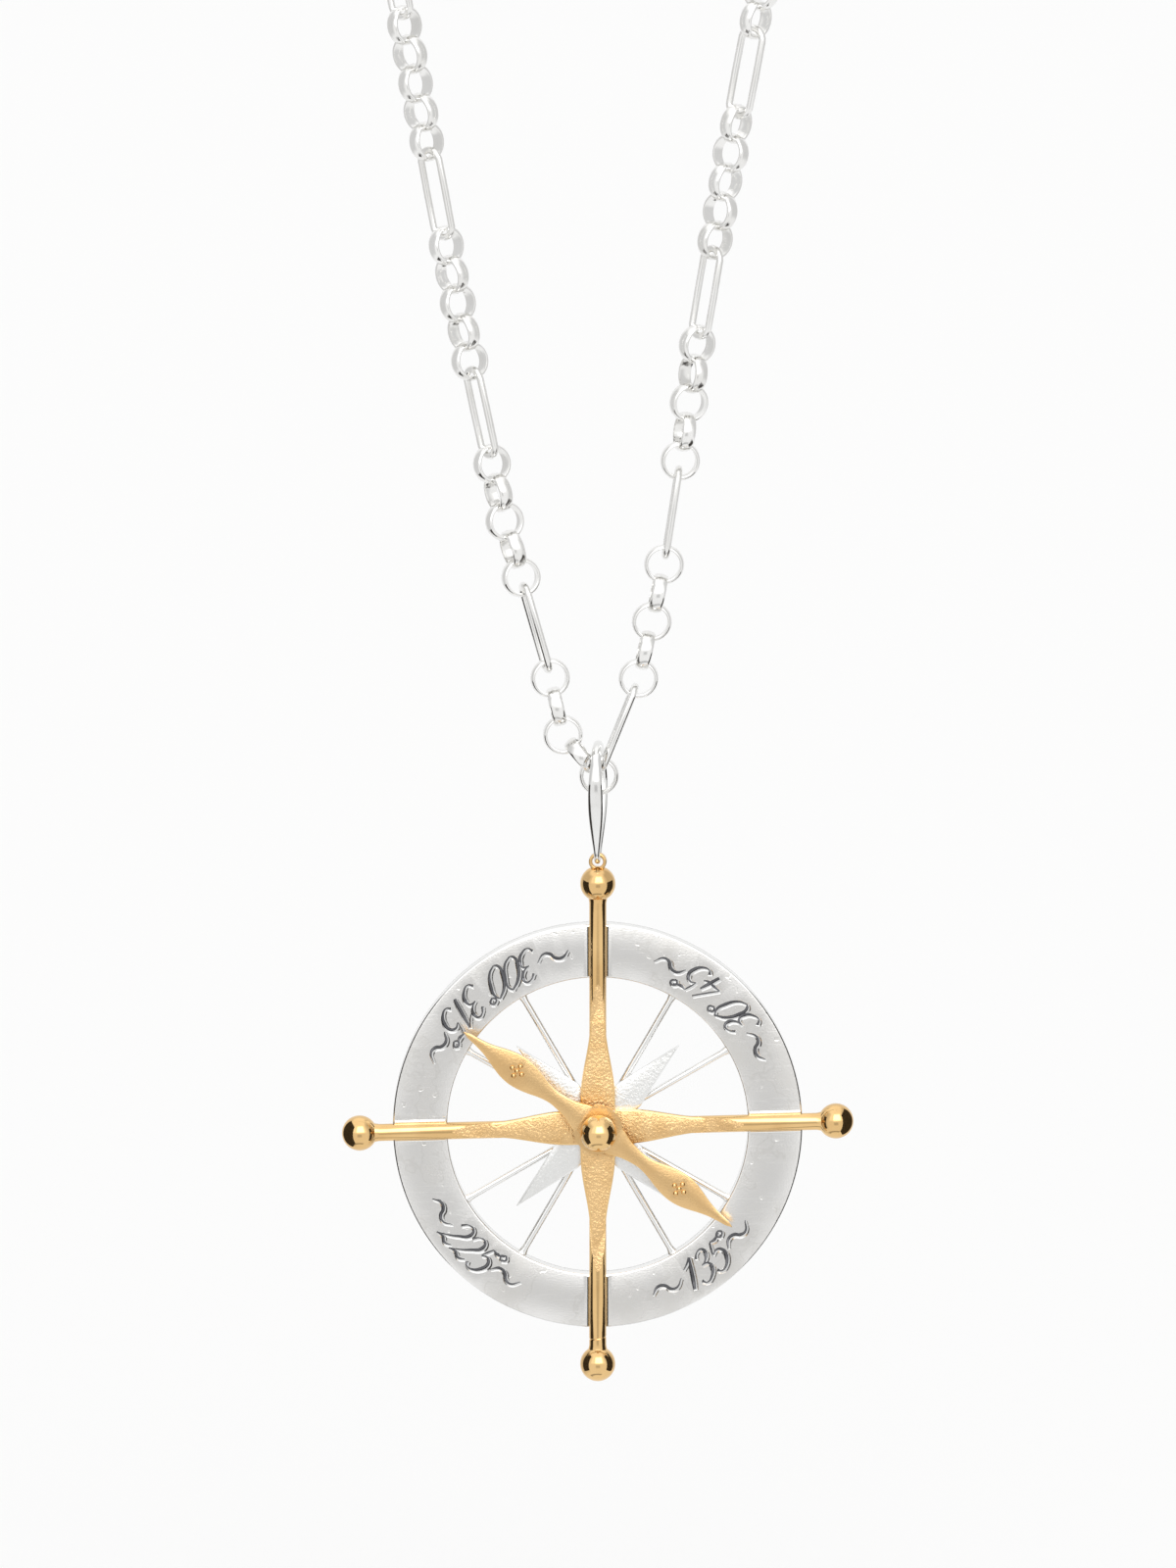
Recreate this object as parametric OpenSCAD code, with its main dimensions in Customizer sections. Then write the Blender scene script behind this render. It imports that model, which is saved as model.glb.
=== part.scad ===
// Compass pendant hanging from a whole necklace chain, in millimetres.
// +Z is up and the dial faces -Y. The origin is where the neck carries the chain, at the nape.

/* [Dial ring] */
// Outer diameter of the flat ring
ring_d = 30.1; // [27:0.1:33]
// Width of the ring's flat band
ring_band = 4; // [3:0.1:5]
// Thickness of the ring, front to back
ring_t = 1.5; // [1.2:0.05:2.4]
// Bevel on the ring's edges
ring_edge = 0.12; // [0.05:0.01:0.25]
// Depth that the rods sink into the ring's front
ring_seat = 0.35; // [0.2:0.05:0.5]
// Diameter of a spoke
spoke_d = 0.5; // [0.4:0.05:0.55]
// Diameter of the hub disc that the spokes meet in
hub_d = 3.2; // [2.6:0.1:4.4]
// Thickness of the hub disc
hub_t = 0.55; // [0.4:0.05:0.8]

/* [Silver star] */
// Distance from the centre to a blade's tip
star_r = 8.5; // [7:0.1:10]
// Greatest width of a blade
star_w = 2.36; // [1.6:0.02:2.8]
// Distance from the centre where a blade starts to narrow
star_root = 3.3; // [2.6:0.1:4.5]
// Thickness of the blades
star_t = 0.5; // [0.3:0.05:0.8]

/* [Gold cross] */
// Distance from the centre to the ball of a side arm
arm_x = 17.5; // [17:0.1:21]
// Distance from the centre to the ball of the top arm, which carries the bail
arm_top = 18.1; // [17:0.1:21]
// Distance from the centre to the ball of the bottom arm
arm_low = 17.7; // [17:0.1:21]
// Diameter of a round rod
rod_d = 1.26; // [1:0.02:1.5]
// Greatest width of a flattened blade
blade_w = 2.56; // [2:0.02:3]
// Thickness of a flattened blade
blade_t = 0.6; // [0.4:0.02:0.8]
// Distance from the centre where a blade starts to narrow
blade_root = 2; // [1.5:0.1:3]
// Distance from the centre where the blade has narrowed to the rod
blade_end = 8; // [6.5:0.1:9]
// Distance from the centre where the flat runs out on the rod
flat_end = 10.7; // [9.5:0.1:12]
// Diameter of an arm's ball
ball_d = 2.6; // [2:0.1:3]
// Diameter of the eye that the bail passes through
eye_d = 1.3; // [1.2:0.05:2]
// Bore of the eye
eye_bore = 0.8; // [0.7:0.02:0.9]
// Thickness of the eye
eye_t = 0.75; // [0.5:0.05:1]
// Height of the eye's centre above the top ball's centre
eye_rise = 1.65; // [1.5:0.05:1.8]
// Tilt of the side arms, up to the right
arm_tilt = 1.3; // [0:0.1:2]

/* [Needle and pin] */
// Half the needle's length, centre to tip
needle_r = 12.3; // [10:0.1:14]
// Greatest width of a needle's arm
needle_w = 2.3; // [1.8:0.05:3]
// Thickness of the needle
needle_t = 0.5; // [0.3:0.05:0.8]
// Diameter of the disc in the middle of the needle
needle_hub_d = 3.6; // [3:0.1:4.5]
// Diameter of the boss behind the needle
boss_d = 2.2; // [1.8:0.1:2.6]
// Turn of the needle at rest, clockwise from level
needle_turn = 36.5; // [0:0.5:90]
// Diameter of the hub pin
pin_d = 1; // [0.8:0.05:1.2]
// Gap all round the pin in the needle's bore
pin_play = 0.05; // [0.02:0.01:0.1]
// Diameter of the ball on the front of the pin
hub_ball_d = 2.7; // [2:0.1:3.2]
// Diameter of the rivet head behind
rivet_d = 1.9; // [1.6:0.1:2.4]
// Height of the rivet head
rivet_t = 0.35; // [0.2:0.05:0.6]

/* [Bail] */
// Height of the bail, top to bottom wire centre
bail_h = 8.7; // [8:0.1:11]
// Depth of the bail, front wire to back wire
bail_depth = 5.6; // [5:0.1:6.5]
// Depth of the bail's narrow foot
bail_foot = 2.6; // [2:0.1:3.4]
// Greatest width of the bail's band, seen from the front
bail_w = 1.2; // [0.8:0.05:1.4]
// Thickness of the bail's band
bail_t = 0.6; // [0.4:0.05:0.8]
// Diameter of the wire at the foot
bail_wire = 0.46; // [0.36:0.02:0.56]
// Turn of the bail about the upright
bail_turn = -5; // [-8:1:8]
// Sideways place of the bail on its link
bail_x = -0.08; // [-0.2:0.02:0.04]
// Gap between the bail's inside and the link below it
bail_gap = 0.6; // [0.4:0.02:0.8]

/* [Chain] */
// Outer diameter of a round link
link_d = 2.92; // [2.6:0.02:3.4]
// Thickness of a round link's band
link_t = 0.28; // [0.2:0.02:0.36]
// Width of a round link's band
link_band = 1; // [0.7:0.05:1.1]
// Width of the flat on the inside and outside of the band
link_flat = 0.4; // [0.2:0.05:0.5]
// Outer length of a long link
long_l = 7; // [5.5:0.1:9]
// Outer width of a long link
long_w = 2.4; // [2.3:0.05:3]
// Diameter of a long link's wire
long_wire = 0.52; // [0.4:0.02:0.56]
// Gap between two links where they hook
link_gap = 0.16; // [0.12:0.01:0.2]
// Greatest bend of the chain at one joint that the hooked ends leave room for
joint_bend = 7; // [4:1:12]
// Round links between two long links
run_links = 5; // [5:2:7]
// Patterns of one long link and its round links, up the right side
right_runs = 15; // [13:1:16]
// Patterns up the left side
left_runs = 14; // [12:1:16]
// Round links on the left before the first long link
left_start = 4; // [2:2:6]
// Round links on the left between the last pattern and the clasp
left_extra = 1; // [1:2:3]
// Slack at each joint of the round link beside the middle one, on the left
first_slack = 0.15; // [0:0.05:0.3]
// Lean of the chain's straight sides from the upright
side_lean = 10.6; // [9:0.1:13]

/* [Clasp] */
// Width of the clasp's hook end
clasp_w = 4.8; // [4.4:0.1:6]
// Distance between the centres of the hook and of the eye
clasp_reach = 6.9; // [6:0.1:9]
// Thickness of the clasp
clasp_t = 1.8; // [1.2:0.1:2.4]
// Diameter of the opening in the hook
hook_bore = 2.7; // [2.4:0.1:3]
// Diameter of the clasp's eye
clasp_eye_d = 2.8; // [2.6:0.1:3.2]
// Bore of the clasp's eye
clasp_bore = 1.6; // [1.5:0.02:1.8]
// Outer diameter of the jump ring
jump_d = 4.6; // [4.2:0.1:5.4]
// Diameter of the jump ring's wire
jump_wire = 0.7; // [0.5:0.05:0.8]

/* [Hidden] */
$fn = 72;

gold = [0.86, 0.69, 0.40];
silver = [0.80, 0.80, 0.81];

// Layers of the dial from front to back, along Y, with the rods' axes at zero
layer_gap = 0.05;
fixed_play = pin_play / 2;
rod_r = rod_d / 2;
blade_front = -blade_t / 2;
star_front = blade_t / 2 + layer_gap;
star_back = star_front + star_t;
hub_front = star_back + layer_gap;
hub_back = hub_front + hub_t;
ring_front = rod_r - ring_seat;
spoke_y = max(hub_front, ring_front) + spoke_d / 2;
needle_gap = 0.17;
ball_gap = 0.1;
boss_gap = 0.1;
needle_back = -rod_r - needle_gap;
needle_front = needle_back - needle_t;
boss_back = blade_front - boss_gap;
hub_ball_y = needle_front - ball_gap - hub_ball_d / 2;
ring_r = ring_d / 2;
ring_in = ring_r - ring_band;
pin_r = pin_d / 2;

// Half width of the rod's face where it is cut to the blade's thickness
flat_w = sqrt(pow(rod_r, 2) - pow(blade_t / 2, 2));
blade_steps = 12;
arm_turns = [-arm_tilt, 90, 180 - arm_tilt, 270];

// Outline of half a needle: distance from the centre as a share of its length,
// and half width as a share of the greatest
needle_form = [[0, 1], [0.08, 1], [0.13, 0.94], [0.165, 0.78], [0.21, 0.61], [0.27, 0.49],
               [0.335, 0.445], [0.405, 0.57], [0.47, 0.78], [0.535, 0.94], [0.6, 1], [0.665, 0.92],
               [0.73, 0.72], [0.78, 0.53], [0.83, 0.37], [0.895, 0.24], [0.96, 0.15], [1, 0.04]];

// Width of the bail's band: height as a share of the bail's, and width as a share of the greatest
bail_widths = [[0, 0.38], [0.1, 0.4], [0.25, 0.7], [0.42, 0.96], [0.52, 1], [0.66, 0.94], [0.82, 0.74], [1, 0.56]];
bail_sides = 10;
bail_top_steps = 12;
bail_foot_steps = 8;
bail_side_steps = 5;

// Lean of each link from the upright, by its number in the strand: the bends fall on links
// that lie flat to the front, so that each link seen edge-on lines up with its neighbours
right_leans = [[1, 22], [3, 13], [5, 12], [7, 8.7], [11, 8], [13, 9.6], [19, side_lean]];
left_leans = [[1, 41], [3, 12.5], [5, 16], [7, 16], [9, 12.5], [17, side_lean]];
right_bends = 19;
left_bends = 17;

// Twist of the strand beyond the quarter turn from link to link, by the link's number
right_twists = [[0, 0], [7, 0], [12, 35], [18, 52], [33, 52], [69, 0]];
left_twists = [[0, 0], [3, 2], [5, 12], [10, 30], [17, 45], [33, 45], [70, 0]];

function sag(r, h) = r - sqrt(r * r - h * h);

// Gap that a round link's band needs in a hooked end of inner radius r
function seat(r) =
    link_gap + max(sag(r, link_flat / 2),
                   sag(r, link_band / 2) - link_t / 2 + link_band / 2 * sin(joint_bend));

link_r = link_d / 2;
link_in = link_r - link_t;
long_bend = (long_w - long_wire) / 2;
long_in = long_bend - long_wire / 2;
round_seat = seat(link_in) + sag(link_in, link_flat / 2);
link_step = 2 * link_in - round_seat;

// Part of the gap at a joint with a round link that falls to the other piece
function share(r) = seat(r) - round_seat / 2;
long_step = long_l - 2 * long_wire - 2 * share(long_in);
jump_bend = (jump_d - jump_wire) / 2;
jump_in = jump_bend - jump_wire / 2;
hook_seat = link_gap + sag(jump_in, clasp_t / 2) + clasp_t / 2 * sin(joint_bend);
eye_t_clasp = clasp_t / 2;
eye_seat = share(clasp_bore / 2) + sag(link_in, eye_t_clasp / 2) + eye_t_clasp / 2 * sin(joint_bend);
jump_step = 2 * jump_in - share(jump_in) - hook_seat / 2;
clasp_step = clasp_reach + hook_bore / 2 + clasp_bore / 2 - hook_seat / 2 - eye_seat;

// Joint points of a strand, from the edge of the middle link upwards
function is_long(k, first) = k >= first && (k - first) % (run_links + 1) == 0;
function step_of(k, first) =
    is_long(k, first) ? long_step : k == 1 ? link_step - 2 * first_slack : link_step;
function heading(lean, side) = [side * sin(lean), cos(lean)];

// Half a link's run: below its middle it follows the edge-on link before it, and above the one after
function lower_half(k, first, leans, side) =
    step_of(k, first) / 2 * heading(lookup(k - 1 + k % 2, leans), side);
function upper_half(k, first, leans, side) =
    step_of(k, first) / 2 * heading(lookup(k + 1 - k % 2, leans), side);

right_count = right_runs * (run_links + 1);
left_count = left_start + left_runs * (run_links + 1) + left_extra;
right_first = 1;
left_first = left_start + 1;

// Distance along the chain from the middle link's centre to each joint
function marks(count, first) =
    [for (k = 0, s = link_step / 2; k <= count; k = k + 1, s = s + step_of(k, first)) s];
right_marks = marks(right_count, right_first);
left_marks = marks(left_count, left_first);

// Joints of the bent stretch near the middle link, which is at zero
function bends(count, first, leans, side) =
    [for (k = 0, p = upper_half(0, first, leans, side); k <= count; k = k + 1,
          p = p + lower_half(k, first, leans, side) + upper_half(k, first, leans, side)) p];
right_bent = bends(right_bends, right_first, right_leans, 1);
left_bent = bends(left_bends, left_first, left_leans, -1);

// Straight sides that meet in an apex below, closed by an arc that touches both
right_end = right_bent[right_bends];
left_end = left_bent[left_bends];
span_x = right_end[0] - left_end[0];
rise_z = left_end[1] - right_end[1];
right_apex = (span_x / sin(side_lean) - rise_z / cos(side_lean)) / 2;
left_apex = (span_x / sin(side_lean) + rise_z / cos(side_lean)) / 2;
apex = right_end - right_apex * heading(side_lean, 1);
loop_len = right_marks[right_count] + left_marks[left_count] + jump_step + clasp_step;
rest_len = loop_len - right_marks[right_bends] - left_marks[left_bends];
lean_rad = side_lean * PI / 180;
nape_r = (rest_len + right_apex + left_apex) / (2 / tan(side_lean) + PI + 2 * lean_rad);
nape_centre = apex + [0, nape_r / sin(side_lean)];
tangent_len = nape_r / tan(side_lean);

// Point of a strand at a distance along the chain, beyond its bent stretch
function past(s, side, end, end_mark, to_apex) =
    s - end_mark < tangent_len - to_apex
    ? end + (s - end_mark) * heading(side_lean, side)
    : let (turn = (s - end_mark - tangent_len + to_apex) / nape_r * 180 / PI - side_lean)
      nape_centre + nape_r * [side * cos(turn), sin(turn)];
function right_point(s) = past(s, 1, right_end, right_marks[right_bends], right_apex);
function left_point(s) = past(s, -1, left_end, left_marks[left_bends], left_apex);
right_joints = [for (k = [0:right_count]) k <= right_bends ? right_bent[k] : right_point(right_marks[k])];
left_joints = [for (k = [0:left_count]) k <= left_bends ? left_bent[k] : left_point(left_marks[k])];
jump_joint = right_point(right_marks[right_count] + jump_step);

// The neck carries the loop at the inside of the clasp, on the loop's middle line
neck_drop = clasp_w / 2;
middle_x = -nape_centre[0];
middle_z = neck_drop - nape_centre[1] - nape_r;

// Height of the bail's parts and of the dial against the middle link
bail_top = link_r + bail_gap + bail_t / 2;
bail_bottom = bail_top - bail_h;
dial_z = bail_bottom - eye_rise - arm_top;

module at_middle_link() translate([middle_x, 0, middle_z]) children();
module at_dial() translate([middle_x + bail_x, 0, middle_z + dial_z]) children();

// Draws its children with their length along the line from a to b, and their middle halfway or as given
module along(a, b, twist, middle = undef) {
    run = b - a;
    at = is_undef(middle) ? (a + b) / 2 : middle;
    translate([at[0], 0, at[1]])
        rotate([0, atan2(run[0], run[1]), 0])
            rotate([0, 0, twist])
                children();
}

module cylinder_y(r, y0, y1) translate([0, y1, 0]) rotate([90, 0, 0]) cylinder(r = r, h = y1 - y0);
module slab_y(y0, y1) translate([0, y1, 0]) rotate([90, 0, 0]) linear_extrude(height = y1 - y0) children();
module pin_hole(r = pin_r + fixed_play) cylinder_y(r, -hub_ball_d, 2 * ring_t + 1);

module ring_blank() {
    front = ring_front;
    back = ring_front + ring_t;
    rotate([-90, 0, 0])
        rotate_extrude($fn = 180)
            polygon([[ring_in + ring_edge, front], [ring_r - ring_edge, front], [ring_r, front + ring_edge],
                     [ring_r, back - ring_edge], [ring_r - ring_edge, back], [ring_in + ring_edge, back],
                     [ring_in, back - ring_edge], [ring_in, front + ring_edge]]);
}

module dial_wheel() {
    color(silver) at_dial() difference() {
        union() {
            ring_blank();
            cylinder_y(hub_d / 2, hub_front, hub_back);
            for (quarter = [0:90:270], third = [30, 60])
                rotate([0, quarter + third, 0])
                    translate([hub_d / 4, spoke_y, 0])
                        rotate([0, 90, 0])
                            cylinder(d = spoke_d, h = ring_in + ring_band / 4 - hub_d / 4, $fn = 24);
        }
        for (turn = arm_turns)
            rotate([0, turn, 0])
                translate([ring_in - 1, 0, 0])
                    rotate([0, 90, 0])
                        cylinder(r = rod_r + layer_gap / 2, h = ring_band + 2);
        pin_hole();
    }
}

module silver_star() {
    half = star_w / 2;
    color(silver) at_dial() difference() {
        slab_y(star_front, star_back)
            for (turn = [45:90:315])
                rotate(turn)
                    polygon([[0, 0], [half, -half], [star_root, -half], [star_r, 0],
                             [star_root, half], [half, half]]);
        pin_hole();
    }
}

// Half width of a flattened blade at a distance from the centre
function blade_half(r) =
    r <= blade_root ? blade_w / 2
    : flat_w + (blade_w / 2 - flat_w) * (0.5 + 0.5 * cos(180 * (r - blade_root) / (blade_end - blade_root)));

module cross_arm(reach) {
    radii = [for (i = [0:blade_steps]) blade_root + (blade_end - blade_root) * i / blade_steps];
    over = rod_r + 0.1;
    slab_y(-blade_t / 2, blade_t / 2)
        polygon(concat([[0, -blade_w / 2]], [for (r = radii) [r, -blade_half(r)]],
                       [for (i = [blade_steps:-1:0]) [radii[i], blade_half(radii[i])]], [[0, blade_w / 2]]));
    intersection() {
        translate([blade_end - 1, 0, 0]) rotate([0, 90, 0]) cylinder(r = rod_r, h = reach - blade_end + 1);
        translate([0, 0, -over])
            linear_extrude(height = 2 * over)
                polygon([[0, -blade_t / 2], [blade_end, -blade_t / 2], [flat_end, -rod_r], [flat_end + 0.3, -over],
                         [reach + 1, -over], [reach + 1, over], [flat_end + 0.3, over], [flat_end, rod_r],
                         [blade_end, blade_t / 2], [0, blade_t / 2]]);
    }
    translate([reach, 0, 0]) sphere(d = ball_d);
}

module eye_plate(r, t) rotate([0, 0, bail_turn]) cylinder_y(r, -t / 2, t / 2);

module gold_cross() {
    color(gold) at_dial() difference() {
        union() {
            for (i = [0:3]) rotate([0, arm_turns[i], 0]) cross_arm([arm_x, arm_low, arm_x, arm_top][i]);
            translate([0, 0, arm_top + eye_rise]) eye_plate(eye_d / 2, eye_t);
        }
        translate([0, 0, arm_top + eye_rise]) eye_plate(eye_bore / 2, eye_t + 1);
        pin_hole();
    }
}

module needle() {
    right_side = [for (p = needle_form) [p[0] * needle_r, p[1] * needle_w / 2]];
    last = len(needle_form) - 1;
    half = concat(right_side, [for (i = [last:-1:0]) [right_side[i][0], -right_side[i][1]]]);
    color(gold) at_dial() rotate([0, needle_turn, 0]) difference() {
        union() {
            slab_y(needle_front, needle_back) union() {
                polygon(half);
                rotate(180) polygon(half);
                circle(d = needle_hub_d);
            }
            cylinder_y(boss_d / 2, needle_front, boss_back);
        }
        pin_hole(pin_r + pin_play);
    }
}

module hub_pin() {
    rivet_front = hub_back + layer_gap;
    color(gold) at_dial() {
        cylinder_y(pin_r, hub_ball_y, rivet_front + rivet_t / 2);
        translate([0, hub_ball_y, 0]) sphere(d = hub_ball_d);
        cylinder_y(rivet_d / 2, rivet_front, rivet_front + rivet_t);
    }
}

// Middle line of the bail as [depth, height, outward angle], a large arc above a small one
bail_big = bail_depth / 2;
bail_small = bail_foot / 2;
bail_taper = asin((bail_big - bail_small) / (bail_h - bail_big - bail_small));
function arc_point(z, r, turn) = [r * cos(turn), z + r * sin(turn), turn];
function between(a, b, n) = [for (i = [1:n - 1]) a + (b - a) * i / n];
bail_over = [for (i = [0:bail_top_steps])
    arc_point(bail_top - bail_big, bail_big, -bail_taper + (180 + 2 * bail_taper) * i / bail_top_steps)];
bail_under = [for (i = [0:bail_foot_steps])
    arc_point(bail_bottom + bail_small, bail_small,
              180 + bail_taper + (180 - 2 * bail_taper) * i / bail_foot_steps)];
bail_line = concat(bail_over, between(bail_over[bail_top_steps], bail_under[0], bail_side_steps),
                   bail_under, between(bail_under[bail_foot_steps], bail_over[0] + [0, 0, 360], bail_side_steps));

function bail_ring(p) =
    let (share = (p[1] - bail_bottom) / bail_h,
         half_w = bail_w / 2 * lookup(share, bail_widths),
         half_t = bail_wire / 2 + (bail_t - bail_wire) / 2 * min(1, 3 * share))
    [for (i = [0:bail_sides - 1])
        let (turn = 360 * i / bail_sides, out = half_t * cos(turn))
        [half_w * sin(turn), p[0] + out * cos(p[2]), p[1] + out * sin(p[2])]];

module bail() {
    count = len(bail_line);
    points = [for (p = bail_line) each bail_ring(p)];
    faces = [for (i = [0:count - 1], j = [0:bail_sides - 1])
        let (next = (i + 1) % count, over = (j + 1) % bail_sides)
        each [[i * bail_sides + j, next * bail_sides + over, next * bail_sides + j],
              [i * bail_sides + j, i * bail_sides + over, next * bail_sides + over]]];
    color(silver) at_middle_link() translate([bail_x, 0, 0]) rotate([0, 0, bail_turn])
        polyhedron(points, faces, convexity = 4);
}

module round_link() {
    half = link_band / 2;
    flat_half = link_flat / 2;
    middle = link_r - link_t / 2;
    rotate([90, 0, 0])
        rotate_extrude($fn = 32)
            polygon([[link_in, -flat_half], [middle, -half], [link_r, -flat_half],
                     [link_r, flat_half], [middle, half], [link_in, flat_half]]);
}

module long_link() {
    run = long_l - long_w;
    for (side = [0, 180])
        rotate([0, side, 0]) {
            translate([long_bend, 0, 0]) cylinder(d = long_wire, h = run, center = true, $fn = 20);
            translate([0, 0, run / 2])
                rotate([90, 0, 0])
                    rotate_extrude(angle = 180, $fn = 32)
                        translate([long_bend, 0])
                            circle(d = long_wire, $fn = 20);
        }
}

module strand(count, first, joints, twists, leans, bent, side) {
    for (k = [1:count]) {
        bent_middle = joints[k - 1] + lower_half(k, first, leans, side);
        along(joints[k - 1], joints[k], 90 * (k % 2) + lookup(k, twists),
              k <= bent ? bent_middle : undef)
            if (is_long(k, first)) long_link(); else round_link();
    }
}

module chain_right() {
    color(silver) at_middle_link() {
        round_link();
        strand(right_count, right_first, right_joints, right_twists, right_leans, right_bends, 1);
    }
}

module chain_left() {
    color(silver) at_middle_link()
        strand(left_count, left_first, left_joints, left_twists, left_leans, left_bends, -1);
}

module clasp_ring() {
    color(silver) at_middle_link()
        along(right_joints[right_count], jump_joint, 90)
            rotate([90, 0, 0])
                rotate_extrude($fn = 48)
                    translate([jump_bend, 0])
                        circle(d = jump_wire, $fn = 24);
}

module clasp() {
    hook_z = -clasp_step / 2 + hook_bore / 2 - hook_seat / 2;
    eye_z = hook_z + clasp_reach;
    color(silver) at_middle_link()
        along(jump_joint, left_joints[left_count], 0)
            difference() {
                slab_y(-clasp_t / 2, clasp_t / 2) difference() {
                    union() {
                        translate([0, hook_z]) circle(d = clasp_w);
                        translate([0, eye_z]) circle(d = clasp_eye_d);
                        polygon([[-clasp_w / 2, hook_z], [clasp_w / 2, hook_z],
                                 [clasp_w / 5, eye_z], [-clasp_w / 5, eye_z]]);
                    }
                    translate([0, hook_z]) circle(d = hook_bore);
                    translate([0, eye_z]) circle(d = clasp_bore);
                }
                for (side = [-1, 1])
                    translate([0, side * clasp_t / 2, eye_z + clasp_eye_d / 4])
                        cube([clasp_w, clasp_t - eye_t_clasp, 1.5 * clasp_eye_d], center = true);
            }
}

dial_wheel();
silver_star();
gold_cross();
needle();
hub_pin();
bail();
chain_right();
chain_left();
clasp_ring();
clasp();
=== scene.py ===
# %% [markdown]
# # A compass pendant on its silver chain
# The pendant is a flat silver ring with eight thin spokes, a frosted silver star, a gilded cross
# whose arms run out into round rods with balls, and a needle that turns on a pin with a ball head.
# It hangs by a bail from a chain of wide round links with a long link after every fifth one.
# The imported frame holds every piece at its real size. Each piece here is modelled again at the
# frame's place with finer edges, but for the bail and the clasp, which are smoothed copies. Then
# each gets its metal finish.

# %% Load the frame
import math

import bmesh
import bpy
import numpy as np
from mathutils import Matrix, Vector


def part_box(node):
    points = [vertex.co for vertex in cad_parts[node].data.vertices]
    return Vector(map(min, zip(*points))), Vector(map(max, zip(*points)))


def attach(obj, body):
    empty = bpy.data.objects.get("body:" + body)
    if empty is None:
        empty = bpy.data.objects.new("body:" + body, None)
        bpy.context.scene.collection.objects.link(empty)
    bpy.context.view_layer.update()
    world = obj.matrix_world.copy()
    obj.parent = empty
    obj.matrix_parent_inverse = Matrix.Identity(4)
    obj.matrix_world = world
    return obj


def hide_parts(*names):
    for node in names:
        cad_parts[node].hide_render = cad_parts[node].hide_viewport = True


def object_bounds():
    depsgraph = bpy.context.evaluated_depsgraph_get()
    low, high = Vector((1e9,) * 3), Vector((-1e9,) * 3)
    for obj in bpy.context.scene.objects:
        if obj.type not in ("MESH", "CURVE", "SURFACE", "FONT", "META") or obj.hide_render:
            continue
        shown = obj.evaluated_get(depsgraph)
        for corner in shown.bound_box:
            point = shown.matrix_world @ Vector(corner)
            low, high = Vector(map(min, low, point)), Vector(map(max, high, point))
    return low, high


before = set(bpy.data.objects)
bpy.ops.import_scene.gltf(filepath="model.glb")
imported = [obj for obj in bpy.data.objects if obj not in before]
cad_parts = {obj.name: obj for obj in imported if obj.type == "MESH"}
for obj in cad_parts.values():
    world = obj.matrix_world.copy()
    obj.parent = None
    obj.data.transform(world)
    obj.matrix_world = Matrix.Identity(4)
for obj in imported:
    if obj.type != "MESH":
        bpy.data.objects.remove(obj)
cad_low, cad_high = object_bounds()
mm = 0.001

# %% [markdown]
# Blender's own unit is the metre, and the frame is in metres. A cut between shapes of a tenth of
# a millimetre loses its accuracy there, so every piece is modelled in millimetres and shrunk a
# thousand times when it is set in its place. The dial's pieces are modelled about its centre.

# %% Measure the frame in millimetres
def box_mm(name):
    """The lowest and highest corner of a node, in millimetres."""
    return [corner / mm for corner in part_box(name)]


wheel_low, wheel_high = box_mm("dial_wheel")
dial = Vector(((wheel_low.x + wheel_high.x) / 2, 0, (wheel_low.z + wheel_high.z) / 2))
print("dial centre", [round(place, 3) for place in dial])

# %% [markdown]
# Blender's operators act on all that is selected, so every step starts by selecting one piece.
# In edit mode the faces, edges or corners to work on are picked by a test on their place.

# %% Helpers for selecting and finishing
X_AXIS, Y_AXIS, Z_AXIS = Vector((1, 0, 0)), Vector((0, 1, 0)), Vector((0, 0, 1))
merge_distance = 0.0005


def only(piece):
    """Selects one object and nothing else."""
    bpy.ops.object.select_all(action="DESELECT")
    piece.select_set(True)
    bpy.context.view_layer.objects.active = piece
    return piece


def made(name):
    """The primitive that was just added, under its new name, with its place in its mesh."""
    piece = only(bpy.context.object)
    piece.name = piece.data.name = name
    bpy.ops.object.transform_apply(location=True, rotation=True, scale=True)
    return piece


def pick(piece, test, kind="EDGE"):
    """In edit mode, selects the faces, edges or corners whose points all pass the test."""
    bpy.ops.mesh.select_mode(type=kind)
    bpy.ops.mesh.select_all(action="DESELECT")
    mesh = bmesh.from_edit_mesh(piece.data)
    parts = {"FACE": mesh.faces, "EDGE": mesh.edges, "VERT": mesh.verts}[kind]
    for part in parts:
        corners = [part] if kind == "VERT" else part.verts
        if all(test(corner.co) for corner in corners):
            part.select_set(True)
    bmesh.update_edit_mesh(piece.data)


def edit(piece):
    """Opens one piece in edit mode."""
    only(piece)
    bpy.ops.object.mode_set(mode="EDIT")


def done():
    """Leaves edit mode."""
    bpy.ops.object.mode_set(mode="OBJECT")


def close_up(piece):
    """Merges doubled corners and turns every face outwards."""
    edit(piece)
    bpy.ops.mesh.select_all(action="SELECT")
    bpy.ops.mesh.remove_doubles(threshold=merge_distance)
    bpy.ops.mesh.normals_make_consistent(inside=False)
    done()
    return piece


def modify(piece, kind, **settings):
    """Adds one modifier, sets it and applies it."""
    only(piece)
    modifier = piece.modifiers.new(kind.title(), kind)
    for setting, value in settings.items():
        setattr(modifier, setting, value)
    bpy.ops.object.modifier_apply(modifier=modifier.name)
    return piece


def combine(piece, tool, how="UNION"):
    """Adds a tool to a piece, or cuts it away, and drops the tool."""
    modify(piece, "BOOLEAN", object=tool, operation=how, solver="MANIFOLD")
    bpy.data.objects.remove(tool)
    return piece


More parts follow.
